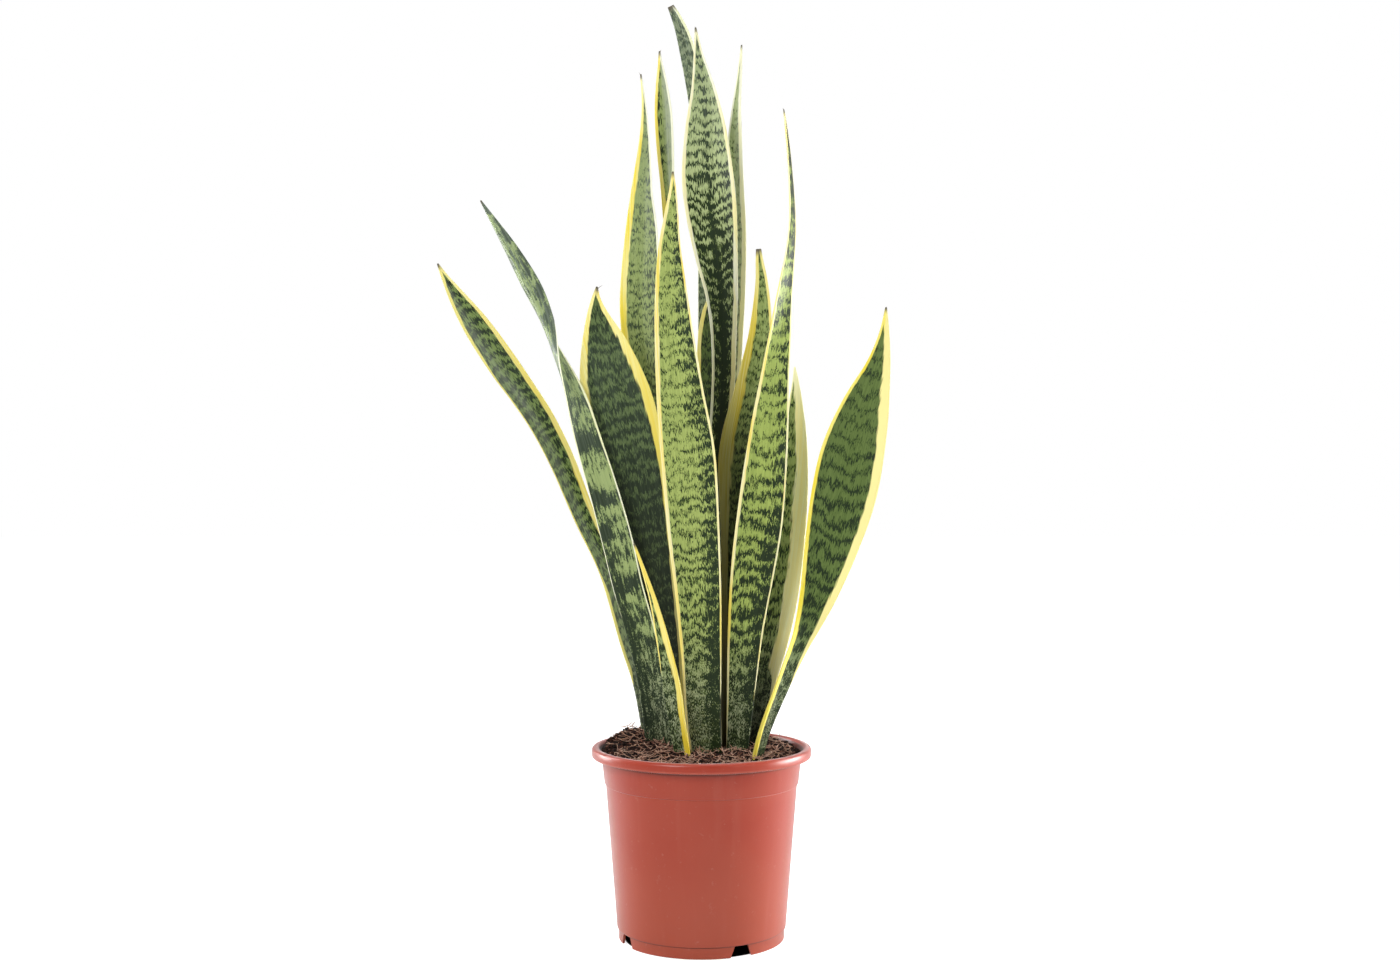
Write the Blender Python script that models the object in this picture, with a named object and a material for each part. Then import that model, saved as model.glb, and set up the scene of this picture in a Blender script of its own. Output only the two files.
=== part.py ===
"""A snake plant with fifteen sword-shaped leaves, in potting soil, in a plastic nursery pot.

Metres, +Z up, standing on the floor at z = 0. The tables below are in millimetres, measured from
the pot's own axis; the whole plant is then shifted so that its bounding box is centred on Z.
"""

import math

import bmesh
import bpy
from mathutils import Vector

MM = 0.001
GAP = 0.3              # clearance between a leaf foot or the pot wall and the soil
SHARP_ANGLE = 35.0     # edges steeper than this stay crisp

# ---- pot (radius, height) -------------------------------------------------------------------
SEGMENTS = 48
WALL_OUTSIDE = [
    (80.0, 0.0), (80.5, 11.0), (81.3, 11.9), (92.4, 148.4), (93.6, 149.4), (96.2, 173.2),
    (97.6, 174.4), (103.6, 174.6), (105.4, 175.8), (106.0, 178.6), (105.6, 181.8),
    (104.0, 183.6), (101.6, 184.0),
]
WALL_INSIDE = [(99.4, 183.4), (98.0, 181.4), (95.0, 170.0), (91.7, 150.6), (90.6, 149.0), (79.2, 14.0)]
FLOOR_UNDERSIDE = 11.6
FOOT_RING_INSIDE = 77.4
NOTCH_ANGLES = (27.6, 117.6, 207.6, 297.6)     # degrees from the front, towards +X
NOTCH_FOOT_WIDTH = 23.0
NOTCH_TOP_WIDTH = 13.5
NOTCH_HEIGHT = 11.0
DRAIN_RADIUS = 5.0
DRAIN_CENTRE = 68.0

# ---- soil -----------------------------------------------------------------------------------
SOIL_LEVEL = 176.5
SOIL_MOUND = 3.0       # rise under the leaves
SOIL_TILT = 0.020      # rise towards the back, as a share of the distance
SOIL_HEAPS = [(-68.0, 36.0, 15.0, 40.0), (60.0, 52.0, 4.0, 30.0)]     # place, rise, spread
SOIL_AT_WALL = 180.0   # highest the soil stands against the rim
SOIL_RINGS = (0.2, 0.4, 0.6, 0.78, 0.92)

# ---- leaves ---------------------------------------------------------------------------------
ACROSS = (-1.0, -0.62, 0.0, 0.62, 1.0)
FOOT_DEPTH = 170.0     # height of the leaf feet inside the soil
FOOT_THICK, MIDDLE_THICK, TIP_THICK = 6.0, 3.4, 1.6
EDGE_SHARE = 0.36      # margin thickness as a share of the middle
FOOT_CUP, TIP_CUP = 0.42, 0.16

# Each row is one cross-section, foot to tip: x, y, height, half width, turn in degrees.
# A turn of 0 faces the front (-Y); a positive turn faces it towards +X.
LEAVES = {
    "leaf_far_left": [
        (-46, 38, 170, 9.5, 0), (-56, 40, 235, 10.7, 0), (-70, 42, 281, 11.4, 0),
        (-91, 45, 350, 10.8, 0), (-116, 47, 403, 11.2, 10), (-138, 48, 457, 12.9, 15),
        (-158, 48, 497, 13.8, 10), (-178, 48, 528, 14.3, 0), (-197, 46, 555, 15.2, 0),
        (-223, 44, 593, 13.6, 0), (-241, 42, 620, 9.0, 0), (-254, 41, 641, 4.0, 0),
        (-262, 40, 656, 0.8, 0),
    ],
    "leaf_left_twisted": [
        (-39, 10, 170, 13.0, 0), (-49, 9, 244, 12.8, 0), (-59, 7, 294, 14.0, 0),
        (-71, 5, 336, 14.6, 0), (-82, 2, 384, 15.0, 0), (-95, -2, 432, 14.2, 5),
        (-109, -7, 478, 13.4, 20), (-122, -12, 520, 13.6, 48), (-134, -16, 552, 13.4, 75),
        (-142, -18, 575, 12.4, 100), (-150, -19, 596, 11.4, 124), (-164, -20, 626, 11.2, 144),
        (-183, -21, 662, 7.8, 150), (-198, -22, 687, 4.2, 150), (-211, -22, 708, 0.8, 150),
    ],
    "leaf_young_front": [
        (-16, -25, 170, 7.4, -20), (-23, -27, 211, 8.8, -20), (-29, -29, 251, 8.4, -15),
        (-37, -31, 290, 6.4, -15), (-45, -33, 324, 3.8, -10), (-54, -34, 353, 2.1, 0),
        (-64, -35, 381, 0.8, 0),
    ],
    "leaf_broad_dark": [
        (-26, 22, 170, 13.3, 0), (-31, 21, 227, 15.8, 0), (-39, 20, 277, 20.2, 0),
        (-49, 18, 336, 24.7, 0), (-59, 16, 396, 28.8, 0), (-67, 13, 446, 32.4, 0),
        (-76, 10, 496, 34.6, 0), (-86, 7, 534, 32.6, 0), (-94, 3, 570, 23.5, 0),
        (-100, 0, 597, 12.5, 0), (-102, -2, 615, 5.0, 0), (-101, -3, 628, 0.8, 0),
    ],
    "leaf_centre_front": [
        (7, -13, 170, 13.4, 0), (2, -15, 204, 16.3, 0), (0, -19, 269, 19.1, 0),
        (-3, -24, 330, 21.9, 0), (-8, -29, 398, 25.0, 0), (-13, -34, 466, 26.0, 0),
        (-20, -38, 520, 22.7, 0), (-26, -42, 580, 18.4, 0), (-29, -44, 624, 14.6, 0),
        (-30, -45, 662, 10.3, 0), (-28, -46, 695, 6.1, 0), (-27, -46, 715, 3.2, 0),
        (-27, -46, 731, 0.8, 0),
    ],
    "leaf_tall_back": [
        (8, 22, 170, 11.8, 0), (10, 27, 283, 11.8, 0), (12, 31, 362, 12.0, 0),
        (15, 35, 436, 11.6, 0), (19, 38, 495, 11.2, 0), (22, 41, 545, 11.6, 0),
        (22, 44, 590, 13.0, 0), (20, 46, 628, 16.6, 0), (15, 48, 664, 21.4, 0),
        (10, 50, 706, 25.6, 0), (6, 52, 746, 26.0, 0), (4, 55, 794, 20.5, 0),
        (2, 57, 832, 12.5, 0), (-3, 59, 868, 5.0, 0), (-6, 60, 896, 0.8, 0),
    ],
    "leaf_tall_right": [
        (30, 38, 170, 9.4, 0), (29, 44, 282, 9.0, 0), (29, 49, 361, 8.6, 0),
        (30, 54, 441, 8.6, 0), (30, 60, 521, 9.2, 0), (31, 64, 582, 10.8, 0),
        (32, 68, 633, 12.4, 0), (33, 71, 689, 12.4, 0), (33, 75, 743, 10.0, 0),
        (34, 78, 786, 7.4, 0), (36, 81, 823, 4.6, 0), (39, 83, 854, 2.5, 0),
        (41, 85, 885, 0.8, 0),
    ],
    "leaf_topmost": [
        (8, 52, 170, 9.6, 0), (8, 58, 280, 9.2, 0), (6, 63, 360, 9.4, 0),
        (6, 68, 441, 9.8, 0), (7, 74, 522, 10.2, 0), (7, 78, 583, 10.6, 0),
        (7, 82, 635, 10.6, 0), (6, 85, 686, 10.0, 0), (4, 89, 738, 9.4, 0),
        (1, 93, 791, 9.6, 0), (-5, 96, 839, 9.8, 0), (-13, 99, 877, 8.6, 0),
        (-20, 101, 903, 6.8, 0), (-27, 102, 920, 4.8, 0), (-32, 103, 930, 3.4, 0),
    ],
    "leaf_yellow_edged": [
        (-17, 58, 170, 8.8, 0), (-18, 62, 260, 9.6, 0), (-21, 67, 360, 10.6, 0),
        (-24, 72, 461, 11.2, 0), (-26, 76, 542, 11.2, 0), (-28, 81, 624, 10.2, 0),
        (-30, 84, 686, 8.2, 0), (-33, 86, 719, 7.2, 0), (-35, 87, 748, 7.6, 0),
        (-37, 88, 780, 9.0, 0), (-39, 90, 818, 9.0, 0), (-41, 92, 851, 5.4, 0),
        (-42, 92, 867, 2.6, 0), (-43, 93, 881, 0.8, 0),
    ],
    "leaf_tall_left": [
        (-21, 44, 170, 10.4, 0), (-27, 45, 242, 11.9, 0), (-35, 47, 321, 13.0, 0),
        (-42, 49, 401, 16.0, 0), (-49, 50, 471, 18.5, 0), (-54, 52, 531, 20.5, 0),
        (-59, 53, 591, 21.5, 0), (-61, 54, 631, 20.6, 0), (-60, 56, 693, 16.0, 0),
        (-60, 57, 726, 11.4, 0), (-58, 58, 762, 7.5, 0), (-57, 59, 793, 4.4, 0),
        (-58, 60, 823, 2.0, 0), (-61, 60, 849, 0.8, 0),
    ],
    "leaf_short_dark": [
        (0, 36, 170, 9.6, 0), (3, 42, 282, 11.4, 0), (4, 46, 361, 12.8, 0),
        (6, 50, 441, 13.4, 0), (7, 54, 501, 12.5, 0), (6, 57, 551, 11.0, 0),
        (5, 59, 587, 8.4, 0), (5, 60, 609, 4.5, 0), (7, 61, 624, 0.8, 0),
    ],
    "leaf_cut_tip": [
        (29, 8, 170, 8.8, 0), (31, 11, 285, 11.7, 0), (34, 14, 367, 14.8, 0),
        (36, 16, 426, 18.8, 0), (37, 17, 457, 21.0, 0), (41, 18, 486, 20.8, 0),
        (47, 19, 516, 18.4, 0), (52, 20, 547, 15.0, 0), (57, 20, 577, 12.3, 0),
        (59, 21, 607, 9.3, 0), (59, 22, 635, 6.2, 0), (57, 22, 655, 4.0, 0),
        (56, 22, 668, 2.6, 0),
    ],
    "leaf_front_right": [
        (34, -2, 170, 9.7, 0), (37, -5, 221, 12.6, 0), (42, -10, 295, 17.0, 0),
        (49, -14, 355, 21.0, 0), (55, -17, 399, 22.3, 0), (60, -20, 445, 21.0, 0),
        (65, -22, 494, 18.0, 5), (69, -24, 533, 15.0, 15), (74, -26, 577, 13.0, 30),
        (79, -28, 622, 11.6, 50), (84, -29, 661, 9.6, 63), (86, -30, 694, 8.4, 68),
        (84, -31, 735, 7.0, 70), (81, -32, 768, 4.6, 70), (78, -32, 793, 0.8, 70),
    ],
    "leaf_pale_band": [
        (46, 18, 170, 8.1, 0), (56, 20, 237, 14.9, 0), (66, 22, 286, 19.6, 0),
        (75, 25, 334, 21.0, 0), (82, 27, 384, 19.8, 0), (88, 29, 432, 17.2, 0),
        (92, 31, 480, 12.3, 0), (93, 32, 520, 6.4, 0), (93, 33, 540, 3.0, 0),
        (92, 33, 553, 0.8, 0),
    ],
    "leaf_far_right": [
        (51, -35, 170, 7.4, 50), (57, -38, 197, 8.0, 50), (65, -41, 221, 9.2, 50),
        (73, -44, 242, 10.4, 48), (82, -47, 265, 11.4, 42), (92, -49, 288, 11.8, 30),
        (101, -51, 311, 14.4, 15), (110, -53, 338, 18.6, 4), (121, -55, 379, 25.3, 0),
        (132, -57, 425, 30.4, 0), (141, -57, 467, 29.6, 0), (153, -56, 509, 22.6, 0),
        (165, -54, 547, 12.0, 0), (171, -52, 578, 5.0, 0), (173, -50, 603, 0.8, 0),
    ],
}


def clear_scene():
    for thing in list(bpy.data.objects):
        bpy.data.objects.remove(thing, do_unlink=True)


def material(name, colour, roughness, metallic=0.0):
    mat = bpy.data.materials.new(name)
    mat.use_nodes = True
    shader = mat.node_tree.nodes["Principled BSDF"]
    shader.inputs["Base Color"].default_value = (*colour, 1.0)
    shader.inputs["Roughness"].default_value = roughness
    shader.inputs["Metallic"].default_value = metallic
    return mat


def new_object(name, bm, mat=None):
    """Close the bmesh into a mesh object with its faces out."""
    bmesh.ops.recalc_face_normals(bm, faces=bm.faces)
    mesh = bpy.data.meshes.new(name)
    bm.to_mesh(mesh)
    bm.free()
    mesh.shade_smooth()
    mesh.set_sharp_from_angle(angle=math.radians(SHARP_ANGLE))
    thing = bpy.data.objects.new(name, mesh)
    bpy.context.scene.collection.objects.link(thing)
    if mat:
        mesh.materials.append(mat)
    return thing


def cut(target, cutter):
    cutter.display_type = "WIRE"
    cutter.hide_render = True
    step = target.modifiers.new(cutter.name, "BOOLEAN")
    step.operation = "DIFFERENCE"
    step.solver = "EXACT"
    step.object = cutter


def turned(profile, name, mat):
    """Turn a closed run of (radius, height) about Z; a radius of 0 closes onto the axis."""
    bm = bmesh.new()
    rows = []
    for radius, height in profile:
        if radius == 0.0:
            rows.append([bm.verts.new((0.0, 0.0, height * MM))] * SEGMENTS)
            continue
        row = []
        for i in range(SEGMENTS):
            angle = math.tau * i / SEGMENTS
            row.append(bm.verts.new((
                radius * math.cos(angle) * MM, radius * math.sin(angle) * MM, height * MM)))
        rows.append(row)
    for low, high in zip(rows, rows[1:] + rows[:1]):
        for i in range(SEGMENTS):
            j = (i + 1) % SEGMENTS
            corners = []
            for vert in (low[i], low[j], high[j], high[i]):
                if vert not in corners:
                    corners.append(vert)
            if len(corners) > 2:
                bm.faces.new(corners)
    return new_object(name, bm, mat)


def prism(bm, outline, low, high):
    """A closed block standing on a flat outline of (x, y), wider or narrower at its top."""
    foot, top = outline
    ends = [
        [bm.verts.new((x * MM, y * MM, low * MM)) for x, y in foot],
        [bm.verts.new((x * MM, y * MM, high * MM)) for x, y in top],
    ]
    count = len(foot)
    for i in range(count):
        j = (i + 1) % count
        bm.faces.new((ends[0][i], ends[0][j], ends[1][j], ends[1][i]))
    bm.faces.new(ends[0])
    bm.faces.new(ends[1])


def around(angle, radial, sideways):
    """A point `radial` out from the axis along the angle measured from the front, and to its side."""
    turn = math.radians(angle) - math.pi / 2
    return (radial * math.cos(turn) - sideways * math.sin(turn),
            radial * math.sin(turn) + sideways * math.cos(turn))


def pot_cutters():
    notches = bmesh.new()
    drains = bmesh.new()
    for angle in NOTCH_ANGLES:
        outlines = []
        for width in (NOTCH_FOOT_WIDTH, NOTCH_TOP_WIDTH):
            half = width / 2
            outlines.append([around(angle, r, s) for r, s in (
                (72.0, -half), (90.0, -half), (90.0, half), (72.0, half))])
        prism(notches, outlines, -1.0, NOTCH_HEIGHT)
        ring = []
        for i in range(12):
            step = math.tau * i / 12
            ring.append(around(angle, DRAIN_CENTRE + DRAIN_RADIUS * math.cos(step),
                               DRAIN_RADIUS * math.sin(step)))
        prism(drains, (ring, ring), 9.0, 16.0)
    return new_object("cut_notches", notches), new_object("cut_drains", drains)


def make_pot():
    centre = [(0.0, 14.0), (0.0, FLOOR_UNDERSIDE), (FOOT_RING_INSIDE + 0.3, FLOOR_UNDERSIDE),
              (FOOT_RING_INSIDE, 0.0)]
    pot = turned(WALL_OUTSIDE + WALL_INSIDE + centre, "pot",
                 material("terracotta_plastic", (0.39, 0.095, 0.058), 0.38))
    for cutter in pot_cutters():
        cut(pot, cutter)
    return pot


def inside_radius(height):
    """Radius of the pot's inner wall at a height."""
    for (r_high, z_high), (r_low, z_low) in zip(WALL_INSIDE, WALL_INSIDE[1:]):
        if z_low <= height <= z_high:
            return r_low + (r_high - r_low) * (height - z_low) / (z_high - z_low)
    return WALL_INSIDE[-1][0]


def soil_height(x, y):
    """The soil's surface: a low mound, heaped above the rim at the back left, gently uneven."""
    spread = math.hypot(x, y) / 95.0
    mound = SOIL_MOUND * (1.0 - spread * spread)
    tilt = SOIL_TILT * (y + 40.0)
    heaps = sum(rise * math.exp(-((x - cx) ** 2 + (y - cy) ** 2) / reach ** 2)
                for cx, cy, rise, reach in SOIL_HEAPS)
    rough = 0.9 * math.sin(x * 0.13 + 1.0) * math.cos(y * 0.11 - 0.6)
    return SOIL_LEVEL + mound + tilt + heaps + rough


def make_soil(sockets):
    bm = bmesh.new()
    rows = []
    sides = [14.3, 149.0, 150.6, 170.0]
    for height in sides:
        radius = inside_radius(height) - GAP
        rows.append([(radius, height)] * SEGMENTS)
    rim = []
    for i in range(SEGMENTS):
        angle = math.tau * i / SEGMENTS
        radius = inside_radius(SOIL_LEVEL) - GAP
        height = min(soil_height(radius * math.cos(angle), radius * math.sin(angle)), SOIL_AT_WALL)
        rim.append((inside_radius(height) - GAP, height))
    rows.append(rim)
    for share in reversed(SOIL_RINGS):
        row = []
        for i, (edge, _) in enumerate(rim):
            angle = math.tau * i / SEGMENTS
            radius = edge * share
            row.append((radius, soil_height(radius * math.cos(angle), radius * math.sin(angle))))
        rows.append(row)
    rings = []
    for row in rows:
        ring = []
        for i, (radius, height) in enumerate(row):
            angle = math.tau * i / SEGMENTS
            ring.append(bm.verts.new((
                radius * math.cos(angle) * MM, radius * math.sin(angle) * MM, height * MM)))
        rings.append(ring)
    for low, high in zip(rings, rings[1:]):
        for i in range(SEGMENTS):
            j = (i + 1) % SEGMENTS
            bm.faces.new((low[i], low[j], high[j], high[i]))
    bm.faces.new(rings[0])
    top = bm.verts.new((0.0, 0.0, soil_height(0.0, 0.0) * MM))
    for i in range(SEGMENTS):
        bm.faces.new((rings[-1][i], rings[-1][(i + 1) % SEGMENTS], top))
    soil = new_object("potting_soil", bm, material("peat", (0.045, 0.024, 0.016), 0.95))
    cut(soil, sockets)
    return soil


def sections(rows):
    """Every cross-section of a leaf: centre, sideways and facing directions, half width, and share."""
    centres = [Vector((x, y, z)) for x, y, z, _, _ in rows]
    found = []
    for i, (_, _, _, half, turn) in enumerate(rows):
        before, after = centres[max(i - 1, 0)], centres[min(i + 1, len(rows) - 1)]
        along = (after - before).normalized()
        angle = math.radians(turn)
        side = Vector((math.cos(angle), math.sin(angle), 0.0))
        side = (side - along * side.dot(along)).normalized()
        facing = side.cross(along).normalized()
        share = (centres[i].z - centres[0].z) / (centres[-1].z - centres[0].z)
        found.append((centres[i], side, facing, half, share))
    return found


def ring_of(section, extra=0.0):
    """The closed outline of one cross-section: a channelled blade, thick in the middle."""
    centre, side, facing, half, share = section
    low = min(share / 0.35, 1.0)
    thick = FOOT_THICK + (MIDDLE_THICK - FOOT_THICK) * low
    thick += (TIP_THICK - MIDDLE_THICK) * max((share - 0.35) / 0.65, 0.0)
    thick = min(thick, half * 1.2)
    cup = (FOOT_CUP + (TIP_CUP - FOOT_CUP) * min(share / 0.6, 1.0)) * half
    front, back = [], []
    for s in ACROSS:
        middle = centre + side * (s * (half + extra)) - facing * (cup * (0.5 - s * s))
        reach = thick / 2 * (EDGE_SHARE + (1 - EDGE_SHARE) * (1 - s * s)) + extra
        front.append(middle + facing * reach)
        back.append(middle - facing * reach)
    return front + back[::-1]


def loft(bm, rings):
    rows = [[bm.verts.new(point * MM) for point in ring] for ring in rings]
    count = len(rows[0])
    for low, high in zip(rows, rows[1:]):
        for i in range(count):
            j = (i + 1) % count
            bm.faces.new((low[i], low[j], high[j], high[i]))
    half = count // 2
    for row in (rows[0], rows[-1]):
        for i in range(half - 1):
            bm.faces.new((row[i], row[i + 1], row[count - 2 - i], row[count - 1 - i]))


def make_leaf(name, rows):
    bm = bmesh.new()
    loft(bm, [ring_of(section) for section in sections(rows)])
    return new_object(name, bm, material(name + "_green", (0.11, 0.22, 0.07), 0.42))


def make_sockets():
    """One clearance plug for each leaf foot, a little wider and deeper than the foot itself."""
    bm = bmesh.new()
    for rows in LEAVES.values():
        first, second = sections(rows)[:2]
        foot = ring_of(first, GAP)
        above = ring_of(second, GAP)
        down = [point - (high - point) * (GAP / (second[0].z - first[0].z))
                for point, high in zip(foot, above)]
        loft(bm, [down, foot, above])
    return new_object("cut_sockets", bm)


def centre_on_axis(things):
    """Hang everything from one empty so that the whole plant's bounding box is centred on Z."""
    points = [vert.co for thing in things for vert in thing.data.vertices]
    middle_x = (min(p.x for p in points) + max(p.x for p in points)) / 2
    middle_y = (min(p.y for p in points) + max(p.y for p in points)) / 2
    holder = bpy.data.objects.new("plant", None)
    bpy.context.scene.collection.objects.link(holder)
    holder.location = (-middle_x, -middle_y, 0.0)
    for thing in list(bpy.context.scene.collection.objects):
        if thing.type == "MESH":
            thing.parent = holder


clear_scene()
sockets = make_sockets()
pieces = [make_pot(), make_soil(sockets)]
pieces += [make_leaf(name, rows) for name, rows in LEAVES.items()]
centre_on_axis(pieces)
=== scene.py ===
import math
import random

import bpy
from mathutils import Matrix, Vector, noise


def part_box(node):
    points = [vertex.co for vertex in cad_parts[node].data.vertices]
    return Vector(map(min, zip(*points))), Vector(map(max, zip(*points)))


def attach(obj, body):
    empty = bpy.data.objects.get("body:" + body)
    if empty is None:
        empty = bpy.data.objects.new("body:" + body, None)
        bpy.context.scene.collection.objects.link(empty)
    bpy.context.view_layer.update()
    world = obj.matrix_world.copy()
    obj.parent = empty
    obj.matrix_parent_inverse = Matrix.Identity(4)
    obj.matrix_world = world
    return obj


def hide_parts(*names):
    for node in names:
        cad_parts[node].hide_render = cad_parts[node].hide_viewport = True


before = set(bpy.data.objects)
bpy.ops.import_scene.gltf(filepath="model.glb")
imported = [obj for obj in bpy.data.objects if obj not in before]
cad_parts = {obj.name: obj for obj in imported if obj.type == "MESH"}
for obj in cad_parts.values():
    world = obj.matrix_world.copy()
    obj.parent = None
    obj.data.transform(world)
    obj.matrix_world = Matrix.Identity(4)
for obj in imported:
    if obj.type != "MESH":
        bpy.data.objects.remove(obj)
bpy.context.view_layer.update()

MM = 0.001
POT_LOW, POT_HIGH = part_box("pot")
AXIS_X = (POT_LOW[0] + POT_HIGH[0]) / 2
AXIS_Y = (POT_LOW[1] + POT_HIGH[1]) / 2

# ---- leaf blades -----------------------------------------
# The same cross-sections as the solid leaves, in millimetres from the pot's axis.
# Each row, foot to tip: x, y, height, half width, and the turn in degrees unless it faces the front.
LEAVES = {
    "leaf_far_left": [
        (-46, 38, 170, 9.5), (-56, 40, 235, 10.7), (-70, 42, 281, 11.4), (-91, 45, 350, 10.8),
        (-116, 47, 403, 11.2, 10), (-138, 48, 457, 12.9, 15), (-158, 48, 497, 13.8, 10),
        (-178, 48, 528, 14.3), (-197, 46, 555, 15.2), (-223, 44, 593, 13.6), (-241, 42, 620, 9.0),
        (-254, 41, 641, 4.0), (-262, 40, 656, 0.8),
    ],
    "leaf_left_twisted": [
        (-39, 10, 170, 13.0), (-49, 9, 244, 12.8), (-59, 7, 294, 14.0), (-71, 5, 336, 14.6),
        (-82, 2, 384, 15.0), (-95, -2, 432, 14.2, 5), (-109, -7, 478, 13.4, 20),
        (-122, -12, 520, 13.6, 48), (-134, -16, 552, 13.4, 75), (-142, -18, 575, 12.4, 100),
        (-150, -19, 596, 11.4, 124), (-164, -20, 626, 11.2, 144), (-183, -21, 662, 7.8, 150),
        (-198, -22, 687, 4.2, 150), (-211, -22, 708, 0.8, 150),
    ],
    "leaf_young_front": [
        (-16, -25, 170, 7.4, -20), (-23, -27, 211, 8.8, -20), (-29, -29, 251, 8.4, -15),
        (-37, -31, 290, 6.4, -15), (-45, -33, 324, 3.8, -10), (-54, -34, 353, 2.1),
        (-64, -35, 381, 0.8),
    ],
    "leaf_broad_dark": [
        (-26, 22, 170, 13.3), (-31, 21, 227, 15.8), (-39, 20, 277, 20.2), (-49, 18, 336, 24.7),
        (-59, 16, 396, 28.8), (-67, 13, 446, 32.4), (-76, 10, 496, 34.6), (-86, 7, 534, 32.6),
        (-94, 3, 570, 23.5), (-100, 0, 597, 12.5), (-102, -2, 615, 5.0), (-101, -3, 628, 0.8),
    ],
    "leaf_centre_front": [
        (7, -13, 170, 13.4), (2, -15, 204, 16.3), (0, -19, 269, 19.1), (-3, -24, 330, 21.9),
        (-8, -29, 398, 25.0), (-13, -34, 466, 26.0), (-20, -38, 520, 22.7), (-26, -42, 580, 18.4),
        (-29, -44, 624, 14.6), (-30, -45, 662, 10.3), (-28, -46, 695, 6.1), (-27, -46, 715, 3.2),
        (-27, -46, 731, 0.8),
    ],
    "leaf_tall_back": [
        (8, 22, 170, 11.8), (10, 27, 283, 11.8), (12, 31, 362, 12.0), (15, 35, 436, 11.6),
        (19, 38, 495, 11.2), (22, 41, 545, 11.6), (22, 44, 590, 13.0), (20, 46, 628, 16.6),
        (15, 48, 664, 21.4), (10, 50, 706, 25.6), (6, 52, 746, 26.0), (4, 55, 794, 20.5),
        (2, 57, 832, 12.5), (-3, 59, 868, 5.0), (-6, 60, 896, 0.8),
    ],
    "leaf_tall_right": [
        (30, 38, 170, 9.4), (29, 44, 282, 9.0), (29, 49, 361, 8.6), (30, 54, 441, 8.6),
        (30, 60, 521, 9.2), (31, 64, 582, 10.8), (32, 68, 633, 12.4), (33, 71, 689, 12.4),
        (33, 75, 743, 10.0), (34, 78, 786, 7.4), (36, 81, 823, 4.6), (39, 83, 854, 2.5),
        (41, 85, 885, 0.8),
    ],
    "leaf_topmost": [
        (8, 52, 170, 9.6), (8, 58, 280, 9.2), (6, 63, 360, 9.4), (6, 68, 441, 9.8), (7, 74, 522, 10.2),
        (7, 78, 583, 10.6), (7, 82, 635, 10.6), (6, 85, 686, 10.0), (4, 89, 738, 9.4),
        (1, 93, 791, 9.6), (-5, 96, 839, 9.8), (-13, 99, 877, 8.6), (-20, 101, 903, 6.8),
        (-27, 102, 920, 4.8), (-32, 103, 930, 3.4),
    ],
    "leaf_yellow_edged": [
        (-17, 58, 170, 8.8), (-18, 62, 260, 9.6), (-21, 67, 360, 10.6), (-24, 72, 461, 11.2),
        (-26, 76, 542, 11.2), (-28, 81, 624, 10.2), (-30, 84, 686, 8.2), (-33, 86, 719, 7.2),
        (-35, 87, 748, 7.6), (-37, 88, 780, 9.0), (-39, 90, 818, 9.0), (-41, 92, 851, 5.4),
        (-42, 92, 867, 2.6), (-43, 93, 881, 0.8),
    ],
    "leaf_tall_left": [
        (-21, 44, 170, 10.4), (-27, 45, 242, 11.9), (-35, 47, 321, 13.0), (-42, 49, 401, 16.0),
        (-49, 50, 471, 18.5), (-54, 52, 531, 20.5), (-59, 53, 591, 21.5), (-61, 54, 631, 20.6),
        (-60, 56, 693, 16.0), (-60, 57, 726, 11.4), (-58, 58, 762, 7.5), (-57, 59, 793, 4.4),
        (-58, 60, 823, 2.0), (-61, 60, 849, 0.8),
    ],
    "leaf_short_dark": [
        (0, 36, 170, 9.6), (3, 42, 282, 11.4), (4, 46, 361, 12.8), (6, 50, 441, 13.4),
        (7, 54, 501, 12.5), (6, 57, 551, 11.0), (5, 59, 587, 8.4), (5, 60, 609, 4.5), (7, 61, 624, 0.8),
    ],
    "leaf_cut_tip": [
        (29, 8, 170, 8.8), (31, 11, 285, 11.7), (34, 14, 367, 14.8), (36, 16, 426, 18.8),
        (37, 17, 457, 21.0), (41, 18, 486, 20.8), (47, 19, 516, 18.4), (52, 20, 547, 15.0),
        (57, 20, 577, 12.3), (59, 21, 607, 9.3), (59, 22, 635, 6.2), (57, 22, 655, 4.0),
        (56, 22, 668, 2.6),
    ],
    "leaf_front_right": [
        (34, -2, 170, 9.7), (37, -5, 221, 12.6), (42, -10, 295, 17.0), (49, -14, 355, 21.0),
        (55, -17, 399, 22.3), (60, -20, 445, 21.0), (65, -22, 494, 18.0, 5), (69, -24, 533, 15.0, 15),
        (74, -26, 577, 13.0, 30), (79, -28, 622, 11.6, 50), (84, -29, 661, 9.6, 63),
        (86, -30, 694, 8.4, 68), (84, -31, 735, 7.0, 70), (81, -32, 768, 4.6, 70),
        (78, -32, 793, 0.8, 70),
    ],
    "leaf_pale_band": [
        (46, 18, 170, 8.1), (56, 20, 237, 14.9), (66, 22, 286, 19.6), (75, 25, 334, 21.0),
        (82, 27, 384, 19.8), (88, 29, 432, 17.2), (92, 31, 480, 12.3), (93, 32, 520, 6.4),
        (93, 33, 540, 3.0), (92, 33, 553, 0.8),
    ],
    "leaf_far_right": [
        (51, -35, 170, 7.4, 50), (57, -38, 197, 8.0, 50), (65, -41, 221, 9.2, 50),
        (73, -44, 242, 10.4, 48), (82, -47, 265, 11.4, 42), (92, -49, 288, 11.8, 30),
        (101, -51, 311, 14.4, 15), (110, -53, 338, 18.6, 4), (121, -55, 379, 25.3),
        (132, -57, 425, 30.4), (141, -57, 467, 29.6), (153, -56, 509, 22.6), (165, -54, 547, 12.0),
        (171, -52, 578, 5.0), (173, -50, 603, 0.8),
    ],
}

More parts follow.
